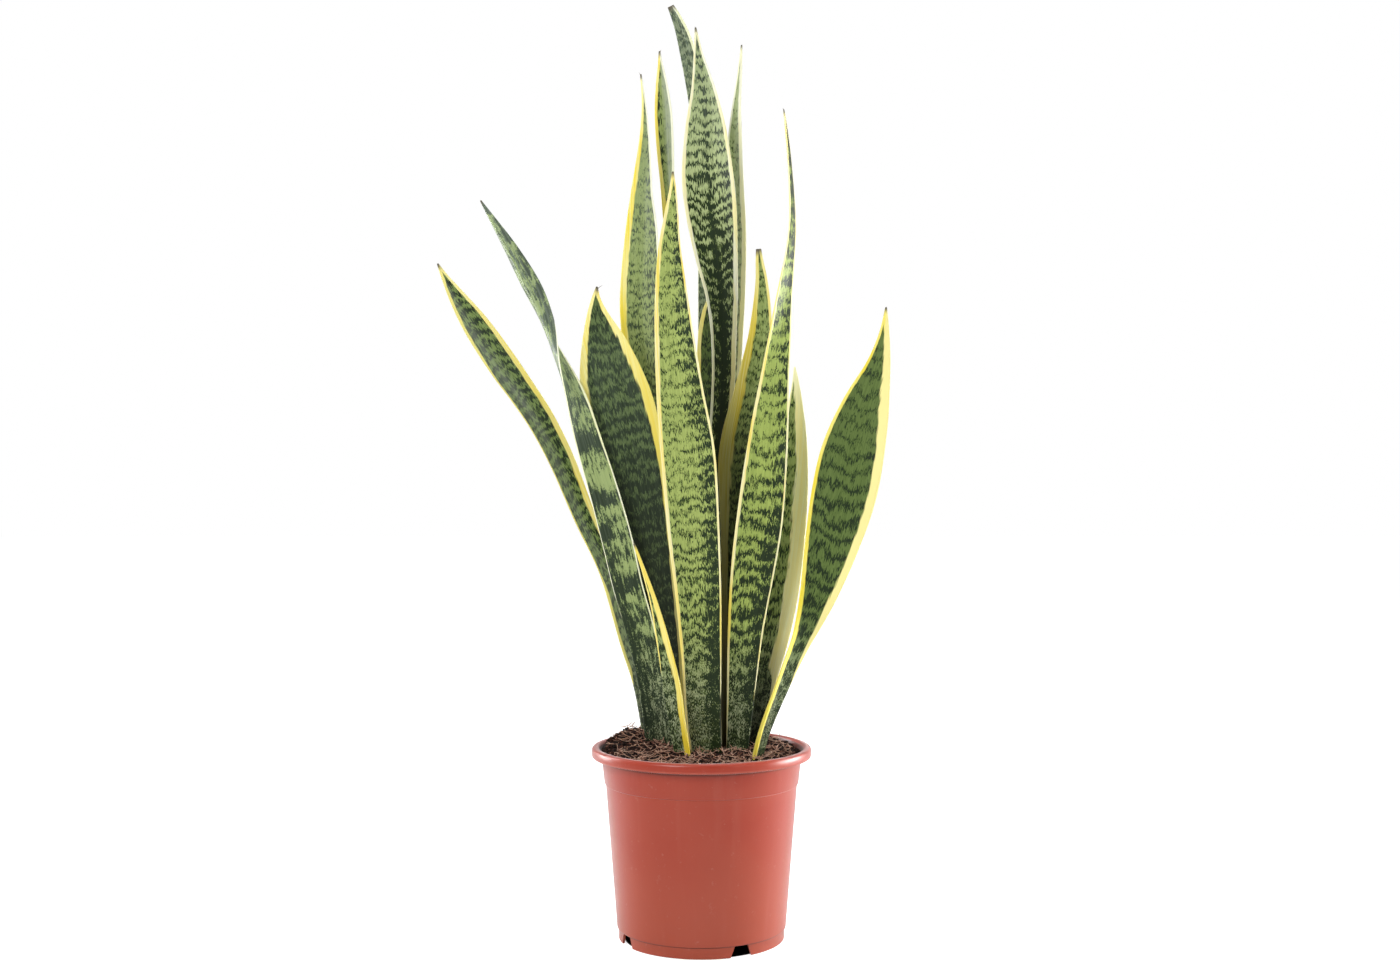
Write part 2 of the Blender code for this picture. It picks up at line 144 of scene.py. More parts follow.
# Yellow margins: height, left width, right width, in millimetres.
MARGINS = {
    "leaf_far_left": [
        (170, 0.3, 0.3), (236, 0.3, 0.3), (250, 2.4, 2.4), (330, 2.6, 5), (352, 1, 5), (490, 1, 5.5),
        (540, 1.4, 5.5), (570, 3, 5), (656, 3, 2)],
    "leaf_left_twisted": [
        (170, 0.3, 0.3), (250, 0.3, 0.3), (300, 0.5, 1.0), (430, 0.8, 1.2), (500, 1.0, 2.0),
        (560, 1.2, 1.6), (590, 0.5, 0.8), (708, 0.3, 0.3)],
    "leaf_young_front": [(170, 0.3, 5.0), (250, 0.3, 5.4), (290, 1.6, 6.0), (381, 1.0, 2.5)],
    "leaf_broad_dark": [
        (170, 3, 3.5), (400, 5, 4), (450, 7, 6), (500, 8.5, 10), (560, 7.5, 10), (600, 4, 5),
        (628, 2, 2)],
    "leaf_centre_front": [
        (170, 0.8, 0.4), (230, 1.6, 0.5), (300, 2.6, 1.2), (450, 3.4, 2.2), (560, 4.6, 2.0),
        (731, 2.5, 1.2)],
    "leaf_tall_back": [(170, 2, 2), (500, 2.2, 4.5), (640, 3, 4.6), (740, 4.2, 4.2), (896, 1.5, 1.5)],
    "leaf_tall_right": [(170, 2, 3), (560, 2, 5), (760, 2, 4.5), (885, 1, 2)],
    "leaf_topmost": [(170, 1, 2.5), (700, 0.7, 3.4), (930, 0.4, 2.6)],
    "leaf_yellow_edged": [(170, 3, 2.5), (700, 4.5, 3), (881, 2.2, 1.8)],
    "leaf_tall_left": [(170, 4, 1.5), (560, 7.5, 1.8), (700, 6, 2.2), (790, 3, 1.6), (849, 1.2, 1)],
    "leaf_short_dark": [(170, 3, 2), (540, 5, 2), (624, 3.5, 1.5)],
    "leaf_cut_tip": [
        (170, 5, 2), (367, 6.5, 2), (426, 10, 2), (457, 15, 2), (500, 13, 2), (560, 7.5, 2.5),
        (620, 4.5, 2.5), (668, 2.5, 2.5)],
    "leaf_front_right": [
        (170, 0.4, 0.4), (230, 1.0, 0.5), (300, 2.2, 1.1), (440, 3.2, 1.4), (560, 3.0, 1.8),
        (660, 2.8, 1.4), (700, 3.0, 1.2), (745, 3.0, 1.2), (793, 2.6, 1.4)],
    "leaf_pale_band": [
        (170, 0.3, 0.3), (215, 0.4, 0.5), (240, 1, 3), (260, 2, 12), (330, 2, 15), (420, 2, 15),
        (500, 2, 10), (553, 1, 4)],
    "leaf_far_right": [
        (170, 2.6, 0.3), (200, 3.4, 0.3), (242, 4.6, 0.3), (265, 5.0, 2.5), (311, 4.6, 6),
        (400, 3.4, 8.5), (520, 3.2, 9.5), (603, 1.5, 4)],
}

# Silvery wax bloom on the blade: height, amount.
BLOOM = {
    "leaf_far_left": [(170, 0.0), (480, 0.05), (530, 0.12), (656, 0.0)],
    "leaf_left_twisted": [(170, 0.05), (470, 0.2), (540, 0.5), (600, 0.55), (708, 0.6)],
    "leaf_tall_left": [(170, 0.1), (640, 0.2), (849, 0.5)],
    "leaf_broad_dark": [(170, 0.0), (560, 0.15), (628, 0.0)],
    "leaf_topmost": [(700, 0.3), (930, 0.45)],
    "leaf_tall_back": [(720, 0.0), (800, 0.2), (896, 0.5)],
    "leaf_tall_right": [(600, 0.05), (760, 0.15), (885, 0.4)],
}
PLAIN_BLOOM = [(170, 0.0), (900, 0.08)]

# Share of light green along each blade: height, share.
TONES = {
    "leaf_far_left": [(170, 0.5), (350, 0.6), (430, 0.45), (500, 0.48), (656, 0.5)],
    "leaf_left_twisted": [
        (170, 0.38), (250, 0.42), (290, 0.46), (325, 0.54), (340, 0.34), (348, 0.36), (354, 0.64),
        (377, 0.64), (384, 0.28), (392, 0.32), (397, 0.7), (413, 0.7), (419, 0.24), (427, 0.24),
        (433, 0.86), (464, 0.86), (470, 0.14), (481, 0.14), (488, 0.55), (560, 0.6), (620, 0.62),
        (708, 0.6)],
    "leaf_young_front": [(170, 0.35), (381, 0.5)],
    "leaf_broad_dark": [(170, 0.2), (400, 0.3), (520, 0.42), (628, 0.5)],
    "leaf_centre_front": [
        (170, 0.4), (220, 0.44), (270, 0.48), (330, 0.58), (400, 0.68), (450, 0.74), (520, 0.74),
        (600, 0.74), (731, 0.72)],
    "leaf_tall_back": [
        (170, 0.18), (520, 0.18), (600, 0.2), (680, 0.32), (730, 0.5), (770, 0.66), (830, 0.86),
        (896, 0.95)],
    "leaf_tall_right": [(170, 0.4), (600, 0.6), (760, 0.8), (885, 0.95)],
    "leaf_topmost": [(170, 0.4), (700, 0.5), (930, 0.46)],
    "leaf_yellow_edged": [(170, 0.3), (600, 0.6), (700, 0.82), (881, 0.85)],
    "leaf_tall_left": [(170, 0.3), (450, 0.5), (560, 0.68), (700, 0.78), (849, 0.8)],
    "leaf_short_dark": [(170, 0.3), (624, 0.45)],
    "leaf_cut_tip": [(170, 0.35), (450, 0.6), (668, 0.75)],
    "leaf_front_right": [
        (170, 0.42), (230, 0.47), (300, 0.44), (345, 0.5), (400, 0.56), (450, 0.74), (560, 0.78),
        (640, 0.62), (700, 0.34), (793, 0.2)],
    "leaf_pale_band": [(170, 0.4), (350, 0.6), (553, 0.7)],
    "leaf_far_right": [
        (170, 0.34), (265, 0.46), (340, 0.5), (380, 0.56), (430, 0.66), (470, 0.76), (603, 0.8)],
}

# How much light is left deep in the tuft, near the foot of each blade: height, share.
GLOOM = {
    "leaf_far_left": [(170, 0.6), (300, 0.85), (500, 0.8), (656, 0.9)],
    "leaf_left_twisted": [(170, 0.6), (240, 0.85), (300, 1.0)],
    "leaf_young_front": [(170, 0.85), (220, 1.0)],
    "leaf_broad_dark": [(170, 0.25), (300, 0.42), (400, 0.66), (480, 0.9), (540, 1.0)],
    "leaf_centre_front": [(170, 0.7), (230, 0.88), (320, 0.98), (400, 1.0)],
    "leaf_front_right": [(170, 0.7), (230, 0.88), (320, 0.98), (400, 1.0)],
    "leaf_tall_back": [(170, 0.3), (500, 0.55), (620, 0.75), (700, 0.95), (760, 1.0)],
    "leaf_pale_band": [(170, 0.1), (230, 0.4), (290, 0.85), (340, 1.0)],
    "leaf_far_right": [(170, 0.75), (260, 0.9), (340, 1.0)],
    "leaf_cut_tip": [(170, 0.04), (300, 0.12), (400, 0.24), (470, 0.34), (540, 0.7), (600, 0.95)],
    "leaf_tall_left": [(170, 0.3), (450, 0.65), (540, 0.85), (620, 1.0)],
    "leaf_tall_right": [(170, 0.25), (450, 0.6), (540, 0.95), (600, 1.0)],
}
DEEP_GLOOM = [(170, 0.25), (450, 0.45), (600, 0.75), (700, 1.0)]

# Extra fold along the middle, as a share of the half width: height, share.
FOLDS = {"leaf_left_twisted": [(470, 0.0), (530, 0.25), (590, 0.42), (640, 0.34), (708, 0.1)]}
NO_FOLD = [(170, 0.0)]

# Greens, yellows and browns of the leaves.
DARK_GREEN = (0.014, 0.027, 0.008, 1)
MID_GREEN = (0.10, 0.145, 0.034, 1)
LEAF_GREEN = (0.30, 0.37, 0.12, 1)
FOOT_GREEN = (0.36, 0.40, 0.24, 1)
SILVER_GREEN = (0.42, 0.49, 0.23, 1)
OLIVE = (0.115, 0.17, 0.042, 1)
LEMON = (1.0, 0.92, 0.38, 1)
YELLOW = (0.97, 0.78, 0.13, 1)
CREAM = (1.0, 0.95, 0.56, 1)
WHITISH = (0.93, 0.94, 0.74, 1)
WAX = (0.30, 0.37, 0.29, 1)
PAINTED_SHEEN = (0.45, 0.50, 0.40, 1)
RIB_DARK = (0.35, 0.38, 0.36, 1)
RIB_LIGHT = (0.75, 0.75, 0.72, 1)
DRY_BROWN = (0.13, 0.115, 0.085, 1)
SPINE_DARK = (0.09, 0.07, 0.045, 1)
SPINE_LIGHT = (0.30, 0.26, 0.19, 1)
BLACK = (0.0, 0.0, 0.0, 1)

# Look of each blade. spacing and jag of the cross-bars and dry, the length of the dry tip, are in metres.
# bars, patch, speckle and rag are the strengths of the pattern's parts, chevron is the slope of its bars,
# and midline darkens the middle. shade is painted shade that darkens one side, and sheen is a painted
# highlight
# that brightens one side: above 0 the right, below 0 the left. Then come the greens of the blade and the
# yellows of its margins.
PATTERN = ("spacing", "jag", "chevron", "bars", "patch", "speckle", "rag", "shade", "midline")
PLAIN_LOOK = dict(
    chevron=0.0, bars=0.32, patch=0.9, rag=0.18, shade=0.0, midline=0.0, dry=0.005, sheen=0.0,
    middle=MID_GREEN, light_green=LEAF_GREEN, pale=LEMON, deep=YELLOW, left_margin=None, right_margin=None)
LOOKS = {
    "leaf_far_left": dict(
        spacing=0.0115, jag=0.0036, chevron=0.45, bars=0.46, patch=1.0, speckle=0.3, rag=0.35,
        sheen=-0.35, middle=(0.075, 0.12, 0.025, 1), light_green=(0.20, 0.28, 0.08, 1),
        left_margin=(0.97, 0.88, 0.28, 1)),
    "leaf_left_twisted": dict(
        spacing=0.030, jag=0.005, bars=0.15, patch=0.5, speckle=0.4, rag=0.75, shade=-0.22,
        middle=(0.075, 0.11, 0.035, 1), light_green=(0.33, 0.41, 0.15, 1), pale=WHITISH,
        deep=(0.88, 0.90, 0.52, 1)),
    "leaf_young_front": dict(
        spacing=0.012, jag=0.004, speckle=0.4, pale=(0.97, 0.86, 0.28, 1), deep=(0.92, 0.70, 0.05, 1)),
    "leaf_broad_dark": dict(
        spacing=0.0135, jag=0.004, bars=0.26, patch=0.6, speckle=0.34, middle=(0.065, 0.098, 0.032, 1),
        light_green=(0.115, 0.165, 0.055, 1)),
    "leaf_centre_front": dict(
        spacing=0.0112, jag=0.0038, speckle=0.5, shade=0.38, light_green=(0.38, 0.46, 0.13, 1),
        pale=CREAM),
    "leaf_tall_back": dict(
        spacing=0.0115, jag=0.0034, chevron=-0.3, bars=0.42, patch=0.6, speckle=0.34, midline=0.36,
        light_green=SILVER_GREEN, pale=WHITISH, deep=(0.93, 0.86, 0.42, 1)),
    "leaf_tall_right": dict(
        spacing=0.012, jag=0.004, speckle=0.3, sheen=0.5, light_green=SILVER_GREEN,
        pale=WHITISH, deep=(0.98, 0.94, 0.52, 1)),
    "leaf_topmost": dict(
        spacing=0.011, jag=0.004, chevron=0.4, bars=0.45, speckle=0.6,
        light_green=(0.25, 0.29, 0.17, 1), pale=WHITISH, deep=(0.80, 0.84, 0.42, 1)),
    "leaf_yellow_edged": dict(
        spacing=0.014, jag=0.004, speckle=0.25, shade=-0.55, sheen=0.95, right_margin=WHITISH),
    "leaf_tall_left": dict(
        spacing=0.0105, jag=0.004, speckle=0.34, shade=0.2, sheen=0.15, deep=(0.96, 0.76, 0.06, 1),
        right_margin=WHITISH),
    "leaf_short_dark": dict(spacing=0.012, jag=0.005, speckle=0.3, light_green=OLIVE),
    "leaf_cut_tip": dict(spacing=0.0105, jag=0.004, speckle=0.25, deep=(0.80, 0.62, 0.07, 1)),
    "leaf_front_right": dict(
        spacing=0.0145, jag=0.004, speckle=0.5, shade=0.3, light_green=(0.36, 0.45, 0.11, 1),
        pale=CREAM),
    "leaf_pale_band": dict(
        spacing=0.016, jag=0.005, speckle=0.3, dry=-0.02, pale=(1.0, 0.98, 0.60, 1),
        deep=(1.0, 0.89, 0.34, 1)),
    "leaf_far_right": dict(
        spacing=0.0155, jag=0.0045, chevron=-0.25, bars=0.4, patch=0.6, speckle=0.36,
        middle=(0.055, 0.092, 0.018, 1), light_green=OLIVE, pale=(1.0, 0.88, 0.22, 1),
        deep=(0.93, 0.76, 0.06, 1), right_margin=(1.0, 0.90, 0.36, 1)),
}

BLADE_ACROSS = 14        # cells of a blade's mesh across and along it
BLADE_ALONG = 72
TIP_CROWDING = 1.15      # above 1 the cells get shorter towards the tip
FOOT_THICK, MIDDLE_THICK, TIP_THICK = 6.0, 3.4, 1.6
MIDDLE_AT = 0.35         # share of the length where the blade has its middle thickness
THICKEST = 1.2           # most thickness, as a share of the half width
EDGE_SHARE = 0.36        # thickness of the margins, as a share of the middle's
FOOT_CUP, TIP_CUP = 0.42, 0.16
CUP_ENDS = 0.6           # share of the length where the cup is down to that of the tip
RIPPLES = ((9.0, 0.45), (23.0, 0.18))      # bumps in a blade's length, and their height
RIPPLE_ACROSS = 1.6
EDGE_WAVES, EDGE_WAVE_SIZE, EDGE_WAVE_SLANT = 21.0, 0.5, 2.0
FULL_RIPPLE_HALF = 12.0  # half width from which a blade ripples in full
LEAF_MAPS = ("size", "margin", "state", "tone", "gloom")


def deselect():
    if bpy.context.mode != "OBJECT":
        bpy.ops.object.mode_set(mode="OBJECT")
    bpy.ops.object.select_all(action="DESELECT")


def select_only(thing):
    deselect()
    thing.select_set(True)
    bpy.context.view_layer.objects.active = thing


def named(name):
    thing = bpy.context.object
    thing.name = name
    thing.data.name = name
    return thing


def settle(thing):
    """Apply every modifier and leave the object at the origin, unturned and unscaled."""
    select_only(thing)
    for step in list(thing.modifiers):
        bpy.ops.object.modifier_apply(modifier=step.name)
    bpy.ops.object.transform_apply(location=True, rotation=True, scale=True)


def cut_across(*heights):
    """Cut the object in hand across at these heights of its own."""
    bpy.ops.object.mode_set(mode="EDIT")
    for height in heights:
        bpy.ops.mesh.select_all(action="SELECT")
        bpy.ops.mesh.bisect(plane_co=(0, 0, height), plane_no=(0, 0, 1))
    bpy.ops.object.mode_set(mode="OBJECT")


def fix(thing, node=None):
    """Let a finished piece ride on the plant, in place of a node where one is given."""
    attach(thing, "root")
    if node:
        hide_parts(node)
    return thing


def in_place(x, y, z):
    """A place given in millimetres from the pot's axis, in metres."""
    return (AXIS_X + x * MM, AXIS_Y + y * MM, z * MM)


def between(table, height):
    """Straight-line values of a table whose first column is the height."""
    if height <= table[0][0]:
        return table[0][1:]
    for low, high in zip(table, table[1:]):
        if height <= high[0]:
            share = (height - low[0]) / (high[0] - low[0])
            return tuple(a + (b - a) * share for a, b in zip(low[1:], high[1:]))
    return table[-1][1:]


def smooth(values, place):
    """Catmull-Rom value along a list, at a fractional place in it."""
    last = len(values) - 1
    index = min(int(place), last - 1)
    share = place - index
    a, b = values[max(index - 1, 0)], values[index]
    c, d = values[index + 1], values[min(index + 2, last)]
    return 0.5 * (2 * b + (c - a) * share + (2 * a - 5 * b + 4 * c - d) * share ** 2
                  + (3 * b - a - 3 * c + d) * share ** 3)


class Blade:
    """A leaf's smooth shape, read at a share of its length from foot (0) to tip (1)."""

    def __init__(self, rows, folds):
        self.folds = folds
        self.centres = [Vector(row[:3]) for row in rows]
        self.halves = [row[3] for row in rows]
        self.turns = [row[4] if len(row) > 4 else 0 for row in rows]
        self.lengths = [0.0]
        for low, high in zip(self.centres, self.centres[1:]):
            self.lengths.append(self.lengths[-1] + (high - low).length)
        self.length = self.lengths[-1]

    def place(self, share):
        want = share * self.length
        for i, (low, high) in enumerate(zip(self.lengths, self.lengths[1:])):
            if want <= high:
                return i + (want - low) / (high - low)
        return len(self.lengths) - 1.0

    def centre(self, share):
        return smooth(self.centres, self.place(min(max(share, 0.0), 1.0)))

    def section(self, share):
        """The middle of a cross-section, the ways to its side and its face, and its half width."""
        at = self.place(share)
        centre = smooth(self.centres, at)
        half = max(smooth(self.halves, at), 0.5)
        turn = math.radians(smooth(self.turns, at))
        along = (self.centre(share + 0.01) - self.centre(share - 0.01)).normalized()
        side = Vector((math.cos(turn), math.sin(turn), 0.0))
        side = (side - along * side.dot(along)).normalized()
        return centre, side, side.cross(along).normalized(), half

    def thickness(self, share, half):
        thick = FOOT_THICK + (MIDDLE_THICK - FOOT_THICK) * min(share / MIDDLE_AT, 1.0)
        thick += (TIP_THICK - MIDDLE_THICK) * max((share - MIDDLE_AT) / (1 - MIDDLE_AT), 0.0)
        return min(thick, half * THICKEST)

    def point(self, share, across, wave):
        centre, side, facing, half = self.section(share)
        cup = FOOT_CUP + (TIP_CUP - FOOT_CUP) * min(share / CUP_ENDS, 1.0)
        cup = (cup + between(self.folds, centre.z)[0]) * half
        ripple = 0.0
        for pitch, size in RIPPLES:
            ripple += size * noise.noise(Vector((across * RIPPLE_ACROSS, share * pitch, wave)))
        phase = share * EDGE_WAVES + wave + EDGE_WAVE_SLANT * across
        ripple += EDGE_WAVE_SIZE * across * across * math.sin(phase)
        ripple *= min(half / FULL_RIPPLE_HALF, 1.0)
        return centre + side * (across * half) + facing * (cup * (across * across - 0.5) + ripple)


def fading(width):
    """What is added to the distance from an edge, so that a margin under a millimetre wide dies away."""
    return 2.0 * max(1.0 - width, 0.0)


def make_blade(name, rows, wave):
    blade = Blade(rows, FOLDS.get(name, NO_FOLD))
    deselect()
    bpy.ops.mesh.primitive_grid_add(x_subdivisions=BLADE_ACROSS, y_subdivisions=BLADE_ALONG, size=2)
    thing = named(name + "_blade")
    mesh = thing.data
    places = [(vert.co.x, 1 - (1 - (vert.co.y + 1) / 2) ** TIP_CROWDING) for vert in mesh.vertices]
    heights, halves = [], []
    thick = thing.vertex_groups.new(name="thickness")
    for vert, (across, share) in zip(mesh.vertices, places):
        spot = blade.point(share, across, wave)
        vert.co = in_place(*spot)
        half = blade.section(share)[3]
        heights.append(spot.z)
        halves.append(half)
        full = blade.thickness(share, half) * (EDGE_SHARE + (1 - EDGE_SHARE) * (1 - across * across))
        thick.add([vert.index], full / FOOT_THICK, "REPLACE")
    mesh.uv_layers.active.name = LEAF_MAPS[0]
    for map_name in LEAF_MAPS[1:]:
        mesh.uv_layers.new(name=map_name)
    size_map, margin_map, state_map, tone_map, gloom_map = (mesh.uv_layers[n] for n in LEAF_MAPS)
    for loop in mesh.loops:
        across, share = places[loop.vertex_index]
        half, height = halves[loop.vertex_index], heights[loop.vertex_index]
        left, right = between(MARGINS[name], height)
        bloom = between(BLOOM.get(name, PLAIN_BLOOM), height)[0]
        size_map.data[loop.index].uv = (across * half * MM, share * blade.length * MM)
        margin_map.data[loop.index].uv = ((1 + across) * half / left + fading(left),
                                          (1 - across) * half / right + fading(right))
        state_map.data[loop.index].uv = ((1 - share) * blade.length * MM, bloom)
        tone_map.data[loop.index].uv = (between(TONES[name], height)[0], across)
        gloom_map.data[loop.index].uv = (between(GLOOM.get(name, DEEP_GLOOM), height)[0], height * MM)
    solid = thing.modifiers.new("thickness", "SOLIDIFY")
    solid.thickness = FOOT_THICK * MM
    solid.offset = 0.0
    solid.vertex_group = "thickness"
    solid.use_rim = True
    fine = thing.modifiers.new("fine", "SUBSURF")
    fine.levels = fine.render_levels = 1
    settle(thing)
    thing.vertex_groups.clear()
    mesh.shade_smooth()
    return fix(thing, name)


# ---- nodes -----------------------------------------------
def give(node, inputs):
    """Give a node's inputs their values or links, by name or number."""
    pairs = inputs.items() if isinstance(inputs, dict) else enumerate(inputs)
    for key, value in pairs:
        if isinstance(value, bpy.types.NodeSocket):
            node.id_data.links.new(value, node.inputs[key])
        else:
            node.inputs[key].default_value = value
    return node


def add(tree, kind, inputs=(), **settings):
    made = tree.nodes.new("ShaderNode" + kind)
    for key, value in settings.items():
        setattr(made, key, value)
    return give(made, inputs)


def after(kind, inputs, **settings):
    """Add a node to the tree of the first input that is a link."""
    values = inputs.values() if isinstance(inputs, dict) else inputs
    tree = next(value.id_data for value in values if isinstance(value, bpy.types.NodeSocket))
    return add(tree, kind, inputs, **settings)


def maths(operation, *values):
    """One operation on a value, or on several from left to right."""
    result = after("Math", values[:2], operation=operation).outputs[0]
    for value in values[2:]:
        result = after("Math", (result, value), operation=operation).outputs[0]
    return result


def times(*values):
    return maths("MULTIPLY", *values)


def plus(*values):
    return maths("ADD", *values)


def minus(*values):
    return maths("SUBTRACT", *values)


def size_of(value):
    return maths("ABSOLUTE", value)


def flip(value):
    return minus(1.0, value)


def scaled(value, factor, start):
    """start + value * factor."""
    return after("Math", (value, factor, start), operation="MULTIPLY_ADD").outputs[0]


def rise(value, low, high):
    """A soft step from 0 at low to 1 at high."""
    inputs = {"Value": value, "From Min": low, "From Max": high}
    return after("MapRange", inputs, interpolation_type="SMOOTHSTEP").outputs["Result"]


def near_to(value, target, inside, outside):
    """1 within inside of the target, falling to 0 at outside."""
    return flip(rise(size_of(minus(value, target)), inside, outside))


def blend(share, first, second, how="MIX"):
    inputs = {0: share, 6: first, 7: second}
    return after("Mix", inputs, data_type="RGBA", blend_type=how, clamp_factor=True).outputs[2]


def parts(vector):
    return tuple(after("SeparateXYZ", (vector,)).outputs)


def length_of(vector):
    return after("VectorMath", (vector,), operation="LENGTH").outputs["Value"]


def mapped(vector, **settings):
    return after("Mapping", {"Vector": vector, **settings}).outputs[0]


def object_place(tree):
    return add(tree, "TexCoord").outputs["Object"]


def noisy(place, scale, detail, rough=0.5):
    inputs = {"Vector": place, "Scale": scale, "Detail": detail, "Roughness": rough}
    return after("TexNoise", inputs).outputs["Fac"]


def field(place, seed, across, along, offset, detail, rough):
    """Noise on a blade, in cycles per metre across and along it."""
    x, y, _ = place
    spot = (times(x, across), times(y, along), plus(seed, offset))
    return noisy(after("CombineXYZ", spot).outputs[0], 1.0, detail, rough)


def swing(place, seed, pattern):
    """A noise field that swings both ways about 0, by the size that its pattern ends with."""
    *noise_field, size = pattern
    return times(minus(field(place, seed, *noise_field), 0.5), size)


def bumps(height, strength, depth):
    return after("Bump", {"Strength": strength, "Distance": depth, "Height": height}).outputs[0]


def new_material(name):
    mat = bpy.data.materials.new(name)
    mat.use_nodes = True
    return mat, mat.node_tree, mat.node_tree.nodes["Principled BSDF"]


def new_group(name, inputs, outputs):
    """A shader node group with named sockets; returns its tree, its input sockets and its output node."""
    tree = bpy.data.node_groups.new(name, "ShaderNodeTree")
    for way, sockets in (("INPUT", inputs), ("OUTPUT", outputs)):
        for kind, labels in sockets.items():
            for label in labels:
                tree.interface.new_socket(name=label, in_out=way, socket_type="NodeSocket" + kind)
    source = tree.nodes.new("NodeGroupInput")
    sink = tree.nodes.new("NodeGroupOutput")
    return tree, {label: source.outputs[label] for labels in inputs.values() for label in labels}, sink


# ---- leaf skin -------------------------------------------
# Noise on a blade: cycles per metre across and along it, seed offset, detail and roughness.
FIBRES = (700.0, 9.0, 21.0, 2.0, 0.5)
MARGIN_STREAKS = (900.0, 14.0, 0.0, 2.0, 0.5)
MARGIN_CLOUDS = (60.0, 11.0, 0.0, 1.0, 0.5)
# The same for noise that swings both ways, and the size of the swing.
BAR_DRIFT = (60.0, 32.0, 0.0, 1.0, 0.5, 0.022)
ZIGZAGS = ((150.0, 42.0, 2.0, 0.0, 0.5, 2.0), (430.0, 75.0, 4.0, 0.0, 0.5, 2.4),
           (1500.0, 170.0, 5.0, 0.0, 0.5, 3.4))
PATCHES = (75.0, 95.0, 9.0, 2.0, 0.5, 1.0)
FLECKS = (1400.0, 520.0, 12.0, 1.0, 0.5, 2.0)
RAGGED = (420.0, 85.0, 30.0, 1.0, 0.5, 2.0)
MOTTLE = (240.0, 110.0, 17.0, 3.0, 0.6, 0.7)
MARGIN_WOBBLE = (500.0, 55.0, 0.0, 1.0, 0.5, 0.5)
MID_STEP, LIGHT_STEP = (0.36, 0.50), (0.44, 0.72)      # where dark turns to middle, and that to light
MARGIN_STEP = (0.85, 1.05)    # where a margin ends, as a share of its width
STREAK_STEP = (0.35, 0.65)
MIDLINE_REACH = 0.006         # metres from the middle to where the dark midline ends
SHADED_SIDE = (0.0, 0.75)     # from the middle to the edge, as a share of the half width
FOOT_ZONE = (0.20, 0.32)      # heights between which the pattern of the foot gives way
DRY_FADE = 0.009              # length over which a dry tip turns green


def bands_group():
    """Cross-bars of a snake plant: rows of frayed dark dashes on light green, closing up where it is dark."""
    tree, given, sink = new_group(
        "Snake bands",
        {"Vector": ("Place", "Tone"), "Float": ("Seed", "Foot", *(key.title() for key in PATTERN))},
        {"Float": ("Mid", "Light", "Fibre")})
    place, seed = parts(given["Place"]), given["Seed"]
    x, y, _ = place
    share, across, _ = parts(given["Tone"])      # share of light green
    zigzag = plus(*(swing(place, seed, pattern) for pattern in ZIGZAGS))
    lean = times(size_of(x), given["Chevron"])
    along = plus(y, swing(place, seed, BAR_DRIFT), times(zigzag, given["Jag"]), lean)
    wave = maths("SINE", times(maths("DIVIDE", along, given["Spacing"]), math.tau))
    bars = times(wave, given["Bars"], scaled(given["Foot"], -0.6, 1.0))
    patches = times(swing(place, seed, PATCHES), given["Patch"])
    flecks = times(swing(place, seed, FLECKS), scaled(given["Foot"], 0.8, given["Speckle"]))
    rags = times(swing(place, seed, RAGGED), given["Rag"])
    # painted shade: darkens the blade towards one side
    side = times(across, maths("SIGN", given["Shade"]))
    shaded = times(rise(side, *SHADED_SIDE), size_of(given["Shade"]))
    midline = times(near_to(x, 0.0, 0.0, MIDLINE_REACH), given["Midline"])
    value = minus(plus(bars, patches, flecks, share, rags), shaded, midline)
    mottled = plus(value, swing(place, seed, MOTTLE))
    give(sink, {"Mid": rise(value, *MID_STEP), "Light": rise(mottled, *LIGHT_STEP),
                "Fibre": field(place, seed, *FIBRES)})
    return tree


def margin_group():
    """The yellow margins: a mask from the distance to each edge, and a streaky yellow."""
    tree, given, sink = new_group(
        "Yellow margin",
        {"Vector": ("Edges", "Place"), "Float": ("Seed",), "Color": ("Pale", "Deep")},
        {"Float": ("Mask",), "Color": ("Color",)})
    left, right, _ = parts(given["Edges"])
    place, seed = parts(given["Place"]), given["Seed"]
    nearer = plus(maths("MINIMUM", left, right), swing(place, seed, MARGIN_WOBBLE))
    streaks = plus(times(field(place, seed, *MARGIN_STREAKS), 0.5),
                   times(field(place, seed, *MARGIN_CLOUDS), 0.5))
    colour = blend(rise(streaks, *STREAK_STEP), given["Pale"], given["Deep"])
    give(sink, {"Mask": flip(rise(nearer, *MARGIN_STEP)), "Color": colour})
    return tree


